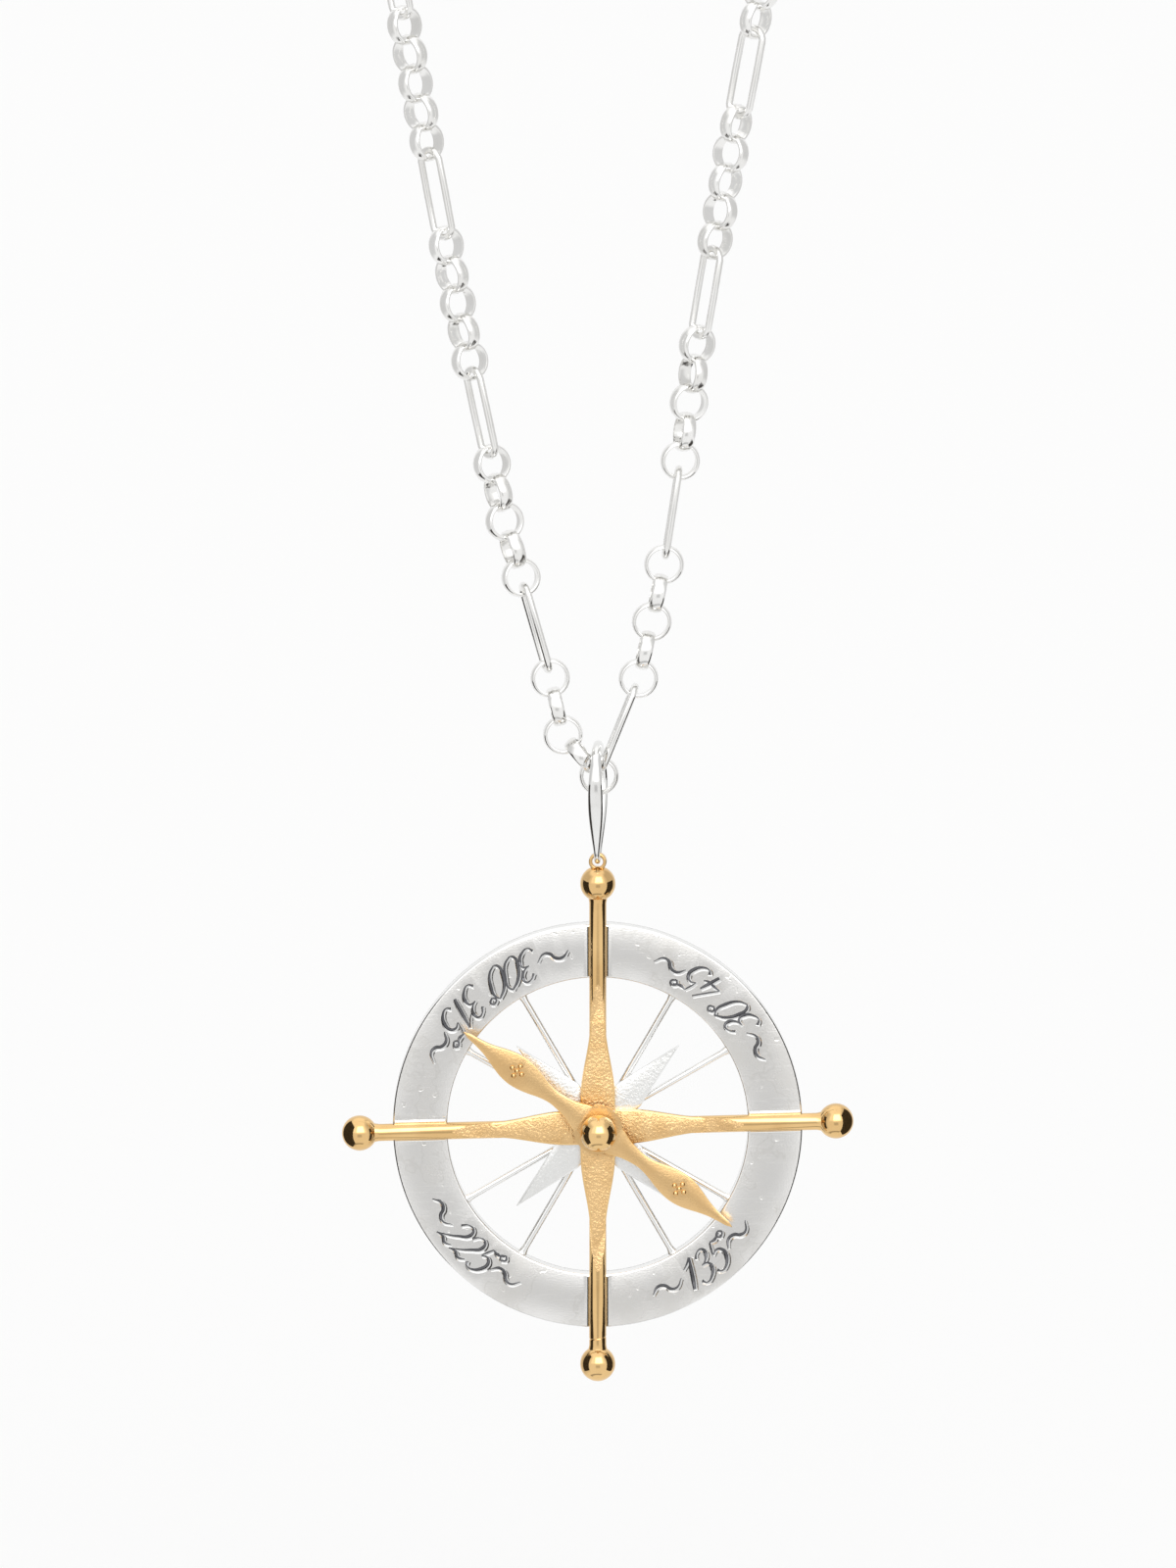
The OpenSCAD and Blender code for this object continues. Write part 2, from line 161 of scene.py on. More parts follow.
def cut_all(piece, tools):
    """Cuts many tools away in one go, and drops them."""
    group = bpy.data.collections.new("tools")
    bpy.context.scene.collection.children.link(group)
    for tool in tools:
        group.objects.link(tool)
    modify(piece, "BOOLEAN", operand_type="COLLECTION", collection=group, operation="DIFFERENCE",
           solver="MANIFOLD")
    for tool in tools:
        bpy.data.objects.remove(tool)
    bpy.data.collections.remove(group)


def copy_of(piece, name):
    """A second object with a mesh of its own."""
    twin = piece.copy()
    twin.data = piece.data.copy()
    twin.name = twin.data.name = name
    bpy.context.scene.collection.objects.link(twin)
    return twin


def moved(piece, matrix):
    """Puts a piece in its place, with the place in its mesh."""
    only(piece)
    piece.matrix_world = matrix
    bpy.ops.object.transform_apply(location=True, rotation=True, scale=True)
    return piece


def turned(piece, angle, axis=Y_AXIS):
    """Turns a piece about an axis through the origin."""
    return moved(piece, Matrix.Rotation(angle, 4, axis))


def joined(pieces, name):
    """Joins pieces into the first one."""
    only(pieces[0])
    for piece in pieces:
        piece.select_set(True)
    bpy.ops.object.join()
    pieces[0].name = pieces[0].data.name = name
    return pieces[0]


def smooth(piece, degrees=32):
    """Shades a piece smooth but for its sharp edges."""
    only(piece)
    bpy.ops.object.shade_smooth_by_angle(angle=math.radians(degrees))
    return piece


def report(piece):
    """Prints a piece's size in millimetres and its triangles."""
    size = [round(side, 2) for side in piece.dimensions]
    piece.data.calc_loop_triangles()
    solid = bmesh.new()
    solid.from_mesh(piece.data)
    volume = solid.calc_volume(signed=True)
    open_edges = sum(not edge.is_manifold for edge in solid.edges)
    solid.free()
    print(piece.name, "size", size, "triangles", len(piece.data.loop_triangles), "volume", round(volume, 2),
          "open edges", open_edges)


# %% [markdown]
# The ring is sawn from sheet and its edges are stoned round. A small rounded rectangle is spun
# about the dial's axis, which keeps the four edges even all the way round. The rods of the cross
# sink into round channels, so cylinders of the rod's size are cut out of the band.

# %% The ring's band
ring_r = (wheel_high.x - wheel_low.x) / 2
ring_band = 4
ring_in = ring_r - ring_band
ring_front, ring_back = wheel_low.y, wheel_high.y
ring_edge = 0.16
rod_r = 0.63
channel_gap = 0.02
overrun = 1
arm_tilt = math.radians(1.3)
arm_turns = [-arm_tilt, math.pi / 2, math.pi - arm_tilt, 3 * math.pi / 2]
full_turn = 2 * math.pi


def spun_band(name, inner, outer, front, back, edge, steps, segments=3):
    """A flat ring about the Y axis, spun from a rectangle with rounded corners."""
    middle = ((inner + outer) / 2, (front + back) / 2, 0)
    bpy.ops.mesh.primitive_plane_add(size=1, location=middle)
    bpy.context.object.scale = (outer - inner, back - front, 1)
    band = made(name)
    edit(band)
    bpy.ops.mesh.select_all(action="SELECT")
    bpy.ops.mesh.bevel(offset=edge, segments=segments, affect="VERTICES")
    bpy.ops.mesh.delete(type="ONLY_FACE")
    bpy.ops.mesh.select_all(action="SELECT")
    bpy.ops.mesh.spin(steps=steps, angle=full_turn, center=(0, 0, 0), axis=(0, 1, 0))
    done()
    return close_up(band)


wheel = spun_band("wheel", ring_in, ring_r, ring_front, ring_back, ring_edge, 192)
for turn in arm_turns:
    bpy.ops.mesh.primitive_cylinder_add(
        vertices=48, radius=rod_r + channel_gap, depth=ring_band + 2 * overrun,
        location=((ring_in + ring_r) / 2, 0, 0), rotation=(0, math.pi / 2, 0))
    combine(wheel, turned(made("channel"), turn), "DIFFERENCE")
report(wheel)

# %% [markdown]
# Two spokes stand in each quarter. They are round wires soldered between the hub disc and the
# ring, and the solder flares out a little at each end. One spoke is modelled and copied.

# %% The spokes and the hub disc
spoke_r = 0.25
spoke_y = 1.15
spoke_start = 0.8
spoke_end = ring_in + 1
hub_r = 1.6
hub_front, hub_back = 0.9, 1.45
hub_edge = 0.08
pin_hole_r = 0.52
flare, half_flare = 1.7, 1.25
flare_ends, flare_starts = ring_in + 0.1, ring_in - 0.15
spoke_cuts = (hub_r + 0.25, ring_in - 0.45, flare_starts, flare_ends)
bpy.ops.mesh.primitive_cylinder_add(
    vertices=20, radius=spoke_r, depth=spoke_end - spoke_start,
    location=((spoke_start + spoke_end) / 2, spoke_y, 0), rotation=(0, math.pi / 2, 0))
spoke = made("spoke")
edit(spoke)
for place in spoke_cuts:
    bpy.ops.mesh.select_all(action="SELECT")
    bpy.ops.mesh.bisect(plane_co=(place, 0, 0), plane_no=(1, 0, 0))
for place, size in ((spoke_start, flare), (flare_ends, flare), (flare_starts, half_flare)):
    pick(spoke, lambda corner: abs(corner.x - place) < 0.02, "VERT")
    bpy.ops.transform.resize(value=(1, 1, size), center_override=(place, spoke_y, 0))
pick(spoke, lambda corner: corner.x > ring_in + 0.5, "VERT")
bpy.ops.transform.resize(value=(1, 1, flare), center_override=(spoke_end, spoke_y, 0))
done()
spoke_turns = [quarter * math.pi / 2 + third for quarter in range(4) for third in (math.pi / 6, math.pi / 3)]
for turn in spoke_turns:
    combine(wheel, turned(copy_of(spoke, "spoke_copy"), turn))
bpy.data.objects.remove(spoke)
combine(wheel, spun_band("hub", pin_hole_r, hub_r, hub_front, hub_back, hub_edge, 64))
report(wheel)

# %% [markdown]
# Where a rod crosses the ring, a thin line of silver solder fills the corner on either side. Each
# line is a flat eight-sided bar, half sunk in the ring beside the rod and joined to it.

# %% The solder beside the rods
solder_w = 0.2
solder_h = 0.22
solder_sink = 0.04
for turn in arm_turns:
    for side in (-1, 1):
        bpy.ops.mesh.primitive_cylinder_add(
            vertices=8, radius=1, depth=ring_band - 2 * ring_edge,
            location=((ring_in + ring_r) / 2, ring_front, side * (rod_r + solder_w / 2 - solder_sink)),
            rotation=(0, math.pi / 2, 0))
        bpy.context.object.scale = ((solder_w + solder_sink) / 2, solder_h, 1)
        combine(wheel, turned(made("solder"), turn))
report(wheel)

# %% [markdown]
# Each quarter of the ring carries plain compass bearings in degrees. A graver's stroke has a deep
# core that turns dark and a bright shallow slope beside it, and it is wider where the hand
# pressed. So each stroke is a curve whose size changes from point to point, made a mesh twice:
# wide and shallow, and narrow and deep. Both are laid on the ring with the figure's top to the
# centre, and cut away.

# %% The strokes of the figures
# Each stroke is a row of points: across and up as shares of the figure's height, and half width
# as a share of the widest
figure_strokes = {
    "0": [[(0.36, 1.0, 0.45), (0.14, 0.8, 0.8), (0.04, 0.42, 1), (0.1, 0.1, 0.8), (0.24, 0.0, 0.4)],
          [(0.24, 0.0, 0.4), (0.44, 0.14, 0.6), (0.54, 0.52, 0.9), (0.5, 0.86, 0.7), (0.36, 1.0, 0.45)]],
    "1": [[(0.08, 0.74, 0.3), (0.24, 0.86, 0.5), (0.36, 1.0, 0.6)],
          [(0.36, 1.0, 0.6), (0.33, 0.6, 1), (0.3, 0.25, 1), (0.27, 0.02, 0.7)]],
    "2": [[(0.06, 0.76, 0.6), (0.16, 0.96, 0.35), (0.36, 0.98, 0.6), (0.5, 0.78, 1), (0.36, 0.46, 0.7),
           (0.14, 0.18, 0.4), (-0.04, 0.02, 0.3)],
          [(-0.04, 0.02, 0.3), (0.18, 0.08, 0.75), (0.38, 0.0, 0.75), (0.56, 0.12, 0.3)]],
    "3": [[(0.1, 0.82, 0.6), (0.2, 0.97, 0.35), (0.38, 0.99, 0.6), (0.48, 0.82, 1), (0.38, 0.6, 0.5),
           (0.22, 0.54, 0.25)],
          [(0.22, 0.54, 0.25), (0.44, 0.5, 0.6), (0.52, 0.3, 1), (0.4, 0.06, 0.6), (0.2, 0.0, 0.35),
           (0.05, 0.14, 0.75)]],
    "4": [[(0.42, 1.0, 0.4), (0.22, 0.66, 0.45), (0.02, 0.34, 0.35)],
          [(0.02, 0.34, 0.4), (0.26, 0.34, 0.75), (0.48, 0.32, 0.7), (0.62, 0.38, 0.3)],
          [(0.46, 0.66, 0.5), (0.42, 0.36, 1), (0.38, 0.02, 0.8)]],
    "5": [[(0.2, 0.96, 0.4), (0.38, 0.92, 0.85), (0.6, 1.0, 0.35)],
          [(0.2, 0.96, 0.4), (0.15, 0.76, 0.5), (0.12, 0.58, 0.3)],
          [(0.12, 0.58, 0.3), (0.3, 0.64, 0.6), (0.48, 0.5, 0.95), (0.5, 0.26, 1), (0.32, 0.03, 0.6),
           (0.14, 0.02, 0.4), (0.02, 0.14, 0.75)]],
    "tendril": [[(-0.4, 0.44, 0.25), (-0.2, 0.62, 0.8), (0.04, 0.56, 0.9), (0.2, 0.4, 0.9), (0.42, 0.34, 0.6),
                 (0.62, 0.56, 0.2)]],
    "degree": [[(0.2, 1.04, 0.5), (0.1, 0.94, 0.6), (0.2, 0.82, 0.5)],
               [(0.2, 0.82, 0.5), (0.31, 0.93, 0.6), (0.2, 1.04, 0.5)]],
}
figure_height, figure_lean, figure_middle = 2.3, 0.3, 0.3
figure_r = 13.05
core_half, core_depth = 0.155, 1.9
rim_half, rim_depth = 0.085, 0.5
rim_shift = Vector((0.07, 0, -0.07))


def stroke_tool(points, half, extra, depth):
    """One stroke of the graver, as the solid that it cuts away, flat about the origin."""
    bpy.ops.curve.primitive_bezier_curve_add()
    stroke = bpy.context.object
    curve = stroke.data
    curve.dimensions = "3D"
    spline = curve.splines[0]
    spline.bezier_points.add(len(points) - 2)
    for point, (across, up, width) in zip(spline.bezier_points, points):
        lean = figure_lean * (up - 0.5)
        point.co = ((across - figure_middle + lean) * figure_height, (up - 0.5) * figure_height, 0)
        point.handle_left_type = point.handle_right_type = "AUTO"
        point.radius = width + extra / half
    curve.resolution_u = 6
    curve.bevel_depth = half
    curve.bevel_resolution = 1
    curve.twist_mode = "Z_UP"
    curve.use_fill_caps = True
    only(stroke)
    bpy.ops.object.convert(target="MESH")
    tool = close_up(made("stroke"))
    edit(tool)
    bpy.ops.mesh.select_all(action="SELECT")
    bpy.ops.transform.resize(value=(1, 1, depth), center_override=(0, 0, 0))
    done()
    return tool


def on_ring(piece, degrees):
    """Lays a flat tool on the ring's front at an angle of the dial, its top towards the centre."""
    angle = math.radians(degrees)
    place = Vector((math.cos(angle), 0, math.sin(angle))) * figure_r + Vector((0, ring_front, 0))
    stand = Matrix.Rotation(math.pi / 2, 4, X_AXIS)
    turn = Matrix.Rotation(angle + math.pi / 2, 4, Z_AXIS)
    return moved(piece, Matrix.Translation(place) @ stand @ turn)


# %% Lay out the bearings
# Each quarter: the signs from left to right as they are read, and their angles on the dial
quarters = [
    [("tendril", 106.5), ("3", 113.5), ("0", 119), ("0", 124.5), ("degree", 129), ("3", 134.5), ("1", 139.5),
     ("5", 144.5), ("degree", 149), ("tendril", 155)],
    [("tendril", 29), ("3", 36), ("0", 41.5), ("degree", 46), ("4", 51.5), ("5", 57.5), ("degree", 62),
     ("tendril", 68)],
    [("tendril", 211), ("2", 218), ("2", 224), ("5", 230), ("degree", 234.5), ("tendril", 240.5)],
    [("tendril", 295), ("1", 302), ("3", 307), ("5", 313), ("degree", 317.5), ("tendril", 323.5)],
]
slope_tools, core_tools = [], []
for quarter in quarters:
    for sign, degrees in quarter:
        for points in figure_strokes[sign]:
            slope = on_ring(stroke_tool(points, core_half, rim_half, rim_depth), degrees)
            slope_tools.append(moved(slope, Matrix.Translation(rim_shift)))
            core_tools.append(on_ring(stroke_tool(points, core_half, 0, core_depth), degrees))
print(len(core_tools), "strokes to cut")

# %% [markdown]
# The star is sawn from one sheet: four blades between the arms of the cross. One blade is a bar
# whose end is cut to a point by two slanting planes. Four copies are united and drilled.

# %% The silver star
star_low, star_high = box_mm("silver_star")
star_r = 8.5
star_half = 1.18
star_root = 3.3
star_edge = 0.1
bpy.ops.mesh.primitive_cube_add(size=1, location=(star_r / 2, (star_low.y + star_high.y) / 2, 0))
bpy.context.object.scale = (star_r, star_high.y - star_low.y, 2 * star_half)
blade = made("star_blade")
edit(blade)
for side in (-1, 1):
    across = Vector((star_half, 0, side * (star_r - star_root))).normalized()
    bpy.ops.mesh.select_all(action="SELECT")
    bpy.ops.mesh.bisect(plane_co=(star_r, 0, 0), plane_no=across, clear_outer=True, use_fill=True)
done()
star = turned(copy_of(blade, "star"), math.pi / 4)
for quarter in (3, 5, 7):
    combine(star, turned(copy_of(blade, "blade_copy"), quarter * math.pi / 4))
bpy.data.objects.remove(blade)


def drill(piece, radius=pin_hole_r):
    """Drills the hole of the pin through the middle of a dial piece."""
    bpy.ops.mesh.primitive_cylinder_add(vertices=48, radius=radius, depth=8, rotation=(math.pi / 2, 0, 0))
    return combine(piece, made("drill"), "DIFFERENCE")


drill(star)
modify(star, "BEVEL", width=star_edge, segments=2, limit_method="ANGLE", angle_limit=math.radians(40),
       use_clamp_overlap=False)
report(star)

# %% [markdown]
# The arms of the cross are flattened rods. A blade is a strip extruded from station to station
# with its own half width, given a thickness and bevelled. The round rod takes over where the blade
# has narrowed, and two slanting flats run out on it.

# %% A blade from stations
def blade_strip(name, stations, depth, centre_y):
    """A flat two-ended blade along X, from stations of distance and half width, mirrored at zero."""
    (start, half), (stop, next_half) = stations[:2]
    bpy.ops.mesh.primitive_plane_add(
        size=1, location=((start + stop) / 2, centre_y, 0), rotation=(math.pi / 2, 0, 0))
    bpy.context.object.scale = (stop - start, 2 * half, 1)
    strip = made(name)
    edit(strip)
    pick(strip, lambda corner: corner.x > stop - merge_distance)
    bpy.ops.transform.resize(value=(1, 1, next_half / half), center_override=(stop, centre_y, 0))
    for (place, width), (onward, new_width) in zip(stations[1:], stations[2:]):
        bpy.ops.mesh.extrude_region_move(TRANSFORM_OT_translate={"value": (onward - place, 0, 0)})
        bpy.ops.transform.resize(value=(1, 1, new_width / width), center_override=(onward, centre_y, 0))
    done()
    modify(strip, "MIRROR", use_axis=(True, False, False), merge_threshold=merge_distance)
    close_up(strip)
    return modify(strip, "SOLIDIFY", thickness=depth, offset=0)


# %% The blades of the cross
blade_half_w, blade_t = 1.28, 0.6
blade_root, blade_end, flat_end = 2, 8, 10.7
blade_edge = 0.13
flat_half = math.sqrt(rod_r ** 2 - (blade_t / 2) ** 2)
blade_stations = [(0, blade_half_w), (blade_root, blade_half_w)]
blade_steps = 16
for step in range(1, blade_steps + 1):
    share = step / blade_steps
    ease = 0.5 + 0.5 * math.cos(math.pi * share)
    blade_stations.append((blade_root + share * (blade_end - blade_root),
                           flat_half + (blade_half_w - flat_half) * ease))
cross_blade = blade_strip("cross_blade", blade_stations, blade_t, 0)
modify(cross_blade, "BEVEL", width=blade_edge, segments=2, limit_method="ANGLE",
       angle_limit=math.radians(50))
report(cross_blade)

# %% [markdown]
# A rod is a cylinder along the arm. Two bisecting planes slant from the blade's face out to the
# rod's own radius, which leaves the long flats. The ball is turned with a short neck, and both
# are united with the blade.

# %% The rods and balls of the cross
ball_r = 1.3
neck_r, neck_l, neck_sink = 0.72, 0.5, 0.1
rod_lap, rod_sink = 1.2, 0.005
# Centre to ball: the right and left arm, and the bottom and top arm
arm_reach = {"side": (17.5, 17.5), "upright": (17.7, 18.1)}


def rod(reach):
    """One round rod with its two slanting flats, its neck and its ball, along +X."""
    start = blade_end - rod_lap
    bpy.ops.mesh.primitive_cylinder_add(
        vertices=64, radius=rod_r, depth=reach - start, location=((start + reach) / 2, 0, 0),
        rotation=(0, math.pi / 2, 0))
    piece = made("rod")
    edit(piece)
    for side in (-1, 1):
        slant = Vector((-(rod_r - blade_t / 2), side * (flat_end - blade_end), 0)).normalized()
        near = (blade_end, side * blade_t / 2, 0)
        bpy.ops.mesh.select_all(action="SELECT")
        bpy.ops.mesh.bisect(plane_co=near, plane_no=slant, clear_outer=True, use_fill=True)
    done()
    bpy.ops.mesh.primitive_cone_add(
        vertices=64, radius1=rod_r - rod_sink, radius2=neck_r, depth=neck_l,
        location=(reach - ball_r + neck_sink, 0, 0), rotation=(0, math.pi / 2, 0))
    combine(piece, made("neck"))
    bpy.ops.mesh.primitive_uv_sphere_add(
        segments=64, ring_count=40, radius=ball_r, location=(reach, 0, 0), rotation=(0, math.pi / 2, 0))
    return combine(piece, made("ball"))


cross = None
for name, start_turn in (("side", -arm_tilt), ("upright", math.pi / 2)):
    bar = turned(copy_of(cross_blade, "bar"), start_turn)
    for half_turn, reach in zip((0, math.pi), arm_reach[name]):
        combine(bar, turned(rod(reach), start_turn + half_turn))
    cross = combine(bar, cross) if cross else bar
    cross.name = cross.data.name = "cross"
bpy.data.objects.remove(cross_blade)
report(cross)

# %% [markdown]
# A small eye stands on the top ball for the bail, and the pin's hole is drilled through the
# middle. On the lower arm the ball's sleeve meets the rod in a fine slanting seam.

# %% The eye and the seam
eye_r, eye_bore_r, eye_half_t, eye_edge = 0.65, 0.4, 0.375, 0.1
low_reach, top_reach = arm_reach["upright"]
eye_z = top_reach + 1.65
bail_turn = math.radians(-5)
eye = spun_band("eye", eye_bore_r, eye_r, -eye_half_t, eye_half_t, eye_edge, 64, 4)
moved(eye, Matrix.Translation((0, 0, eye_z)) @ Matrix.Rotation(bail_turn, 4, Z_AXIS))
combine(cross, eye)
seam_r, seam_lean = 0.065, math.radians(-8)
seam_z = -(low_reach - 1.95)
bpy.ops.mesh.primitive_torus_add(
    major_radius=rod_r + 0.02, minor_radius=seam_r, major_segments=48, minor_segments=8,
    location=(0, 0, seam_z), rotation=(0, seam_lean, 0))
combine(cross, made("seam"), "DIFFERENCE")
drill(cross)
report(cross)

# %% [markdown]
# The needle is cut from thin sheet: a round disc with a boss behind it, and two arms that start
# from a narrow waist, swell to a leaf and run out to a point. Its outline is a smooth curve through
# a few stations, given as shares of its length and of its greatest half width. Five small beads
# stand on each leaf.

# %% The needle
needle_r, needle_half = 12.3, 1.15
needle_front, needle_back, boss_back = -1.3, -0.8, -0.4
needle_turn = math.radians(36.5)
needle_form = [(0, 1), (0.08, 1), (0.13, 0.94), (0.165, 0.78), (0.21, 0.61), (0.27, 0.49), (0.335, 0.445),
               (0.405, 0.57), (0.47, 0.78), (0.535, 0.94), (0.6, 1), (0.665, 0.92), (0.73, 0.72),
               (0.78, 0.53), (0.83, 0.37), (0.895, 0.24), (0.96, 0.15), (1, 0.0002)]


def curve_through(points, steps):
    """A smooth curve through the points in steps, with its last piece straight."""
    before = [points[0]] + list(points)
    after = list(points[2:]) + [points[-1]] * 2
    curve = []
    for a, b, c, d in zip(before, points, points[1:], after):
        for step in range(steps):
            t = step / steps
            value = 0.5 * (2 * b[1] + (c[1] - a[1]) * t + (2 * a[1] - 5 * b[1] + 4 * c[1] - d[1]) * t ** 2
                           + (3 * b[1] - a[1] - 3 * c[1] + d[1]) * t ** 3)
            curve.append((b[0] + (c[0] - b[0]) * t, max(value, points[-1][1])))
    return curve[:1 - steps] + [points[-1]]


needle_stations = [(share * needle_r, width * needle_half) for share, width in curve_through(needle_form, 4)]
needle = blade_strip("needle", needle_stations, needle_back - needle_front, (needle_front + needle_back) / 2)
disc_r, boss_r, start_hole_r, needle_bore_r = 1.8, 1.1, 0.2, 0.55
needle_edge, boss_edge, boss_sink = 0.08, 0.05, 0.1
combine(needle, spun_band("disc", start_hole_r, disc_r, needle_front, needle_back, 0.002, 96, 1))
combine(needle, spun_band("boss", start_hole_r, boss_r, needle_front + boss_sink, boss_back, boss_edge, 64))
drill(needle, needle_bore_r)
modify(needle, "BEVEL", width=needle_edge, segments=2, limit_method="ANGLE", angle_limit=math.radians(50),
       use_clamp_overlap=False)
bead_r, bead_step, bead_place, bead_sink = 0.2, 0.42, 7.4, 0.05
for side in (-1, 1):
    for across, up in ((0, 0), (1, 0), (-1, 0), (0, 1), (0, -1)):
        bpy.ops.mesh.primitive_uv_sphere_add(
            segments=16, ring_count=8, radius=bead_r,
            location=(side * bead_place + across * bead_step, needle_front + bead_sink, up * bead_step))
        combine(needle, made("bead"))
turned(needle, needle_turn)
report(needle)

# %% [markdown]
# The pin holds the dial together: a post with a polished ball in front and a low domed rivet head
# behind. The three are primitives of their real size, united.

# %% The hub pin
pin_low, pin_high = box_mm("hub_pin")
hub_ball_r = (pin_high.x - pin_low.x) / 2
hub_ball_y = pin_low.y + hub_ball_r
rivet_r, rivet_t, pin_r = 0.95, 0.35, 0.5
rivet_place = (0, pin_high.y - rivet_t, 0)
post_short = 0.05
bpy.ops.mesh.primitive_uv_sphere_add(
    segments=72, ring_count=48, radius=hub_ball_r, location=(0, hub_ball_y, 0),
    rotation=(math.pi / 2, 0, 0))
pin = made("pin")
bpy.ops.mesh.primitive_cylinder_add(
    vertices=48, radius=pin_r, depth=pin_high.y - hub_ball_y - post_short,
    location=(0, (pin_high.y + hub_ball_y - post_short) / 2, 0), rotation=(math.pi / 2, 0, 0))
combine(pin, made("post"))
bpy.ops.mesh.primitive_uv_sphere_add(
    segments=48, ring_count=24, radius=1, location=rivet_place, rotation=(math.pi / 2, 0, 0))
bpy.context.object.scale = (rivet_r, rivet_r, rivet_t)
rivet = made("rivet")
edit(rivet)
bpy.ops.mesh.select_all(action="SELECT")
bpy.ops.mesh.bisect(plane_co=rivet_place, plane_no=(0, -1, 0), clear_outer=True, use_fill=True)
done()
combine(pin, rivet)
report(pin)

# %% [markdown]
# The bail is a loop of flat band that narrows to a wire at its foot. Its CAD form is right but
# faceted, so a copy of it is merged, turned back into quads and subdivided twice.

# %% The bail
def node_copy(name):
    """A merged copy of a node's mesh, in millimetres."""
    form = copy_of(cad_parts[name], name + "_form")
    form.parent = None
    for key in list(form.keys()):
        del form[key]
    moved(form, Matrix.Scale(1 / mm, 4))
    edit(form)
    bpy.ops.mesh.select_all(action="SELECT")
    bpy.ops.mesh.remove_doubles(threshold=merge_distance)
    done()
    return form


bail = node_copy("bail")
edit(bail)
bpy.ops.mesh.select_all(action="SELECT")
bpy.ops.mesh.tris_convert_to_quads(face_threshold=math.radians(60), shape_threshold=math.radians(60))
bpy.ops.mesh.normals_make_consistent(inside=False)
done()
modify(bail, "SUBSURF", levels=2, render_levels=2)
report(bail)

# %% [markdown]
# Every link of the chain is its own loose solid in the frame. A strand's node is copied and
# separated, and each loose link gives its centre and its three main directions, found from the
# spread of its points. One round link and one long link are modelled and copied to these places.

# %% Where each link lies
def places_of(node):
    """The place of each loose solid of a node: a matrix with its long side on X, and its box."""
    whole = node_copy(node)
    edit(whole)
    bpy.ops.mesh.separate(type="LOOSE")
    done()
    found = []
    for piece in sorted(bpy.context.selected_objects, key=lambda part: part.name):
        points = np.array([corner.co for corner in piece.data.vertices])
        centre = (points.min(0) + points.max(0)) / 2
        axes = np.linalg.eigh(np.cov((points - points.mean(0)).T))[1][:, ::-1]
        if np.linalg.det(axes) < 0:
            axes[:, 2] *= -1
        local = (points - centre) @ axes
        middle = (local.min(0) + local.max(0)) / 2
        centre = centre + axes @ middle
        matrix = Matrix.Translation(Vector(centre)) @ Matrix(axes.tolist()).to_4x4()
        found.append((matrix, Vector(local.max(0) - local.min(0))))
        bpy.data.objects.remove(piece)
    return found


link_places = {node: places_of(node) for node in ("chain_right", "chain_left")}
for node, found in link_places.items():
    print(node, "has", len(found), "links")

# %% [markdown]
# A round link is a short tube of domed band. Its section starts as an ellipse a millimetre wide.
# Its ends are squared and bent towards the axis, and it is spun round, so that the link is a
# small barrel with a bright domed outside and flat edges.

# %% A round link
def ring_of(name, middle_r, thick, wide, steps, sides, square=1.0, bow=0.0):
    """A ring with an elliptic, squared or bent section, spun about Z."""
    bpy.ops.mesh.primitive_circle_add(
        vertices=sides, radius=1, location=(middle_r, 0, 0), rotation=(math.pi / 2, 0, 0))
    bpy.context.object.scale = (thick / 2, wide / 2, 1)
    ring = made(name)
    for corner in ring.data.vertices:
        out, up = (corner.co.x - middle_r) * 2 / thick, corner.co.z * 2 / wide
        out, up = (math.copysign(abs(share) ** square, share) for share in (out, up))
        corner.co = (middle_r + out * thick / 2 - bow * up ** 2, 0, up * wide / 2)
    edit(ring)
    bpy.ops.mesh.select_all(action="SELECT")
    bpy.ops.mesh.spin(steps=steps, angle=full_turn, center=(0, 0, 0), axis=(0, 0, 1))
    done()
    return close_up(ring)


link_r, link_t, link_band = 1.46, 0.26, 1.0
link_square, link_bow = 0.55, 0.11
round_link = ring_of("round_link", link_r - link_t / 2, link_t, link_band, 36, 16, link_square, link_bow)
report(round_link)

# %% A long link
long_l, long_w, long_wire = 7, 2.4, 0.52
long_bend = (long_w - long_wire) / 2
long_link = ring_of("long_link", long_bend, long_wire, long_wire, 32, 12)
edit(long_link)
bpy.ops.mesh.select_all(action="SELECT")
bpy.ops.mesh.bisect(plane_co=(0, 0, 0), plane_no=(1, 0, 0))
for side in (-1, 1):
    pick(long_link, lambda corner: side * corner.x > merge_distance, "VERT")
    bpy.ops.transform.translate(value=(side * (long_l - long_w) / 2, 0, 0))
done()
report(long_link)

# %% Copy the links to their places
def strand(node):
    """All links of a strand, copied to their places and joined."""
    links = []
    for matrix, size in link_places[node]:
        model = long_link if size.x > (long_l + 2 * link_r) / 2 else round_link
        link = copy_of(model, "link")
        link.matrix_world = matrix
        links.append(link)
    whole = joined(links, node + "_links")
    bpy.ops.object.transform_apply(location=True, rotation=True, scale=True)
    report(whole)
    return whole


chains = {node: strand(node) for node in link_places}
bpy.data.objects.remove(round_link)
bpy.data.objects.remove(long_link)

# %% [markdown]
# The clasp hides at the nape. It is a flat cast body with a round hook end and a thinner eye, and
# a jump ring of round wire joins it to the right strand.

